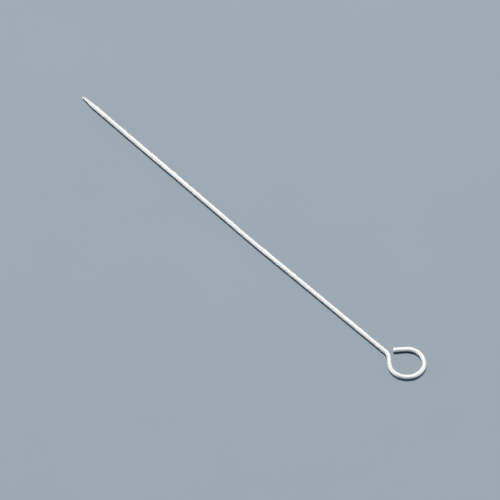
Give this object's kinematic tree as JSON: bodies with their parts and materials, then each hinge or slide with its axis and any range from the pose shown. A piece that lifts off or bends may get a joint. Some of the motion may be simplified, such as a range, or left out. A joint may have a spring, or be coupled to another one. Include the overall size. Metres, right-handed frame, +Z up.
{
  "type": "inoculating loop",
  "caption": "Bare wire with a straight stem for a clamp holder, a ground point at one end and a round open eye at the other that lifts and spreads a liquid sample.",
  "frame": {"origin": "centre of the bounding box's bottom face, on the bench that the wire lies on", "axes": "+X along the stem from the point towards the eye, +Z up, square to the plane of the eye"},
  "size_m": [0.0644, 0.0052, 0.0006],
  "materials": {
    "wire": "bright drawn"
  },
  "bodies": {
    "root": {"loop_wire": "wire"}
  },
  "joints": []
}
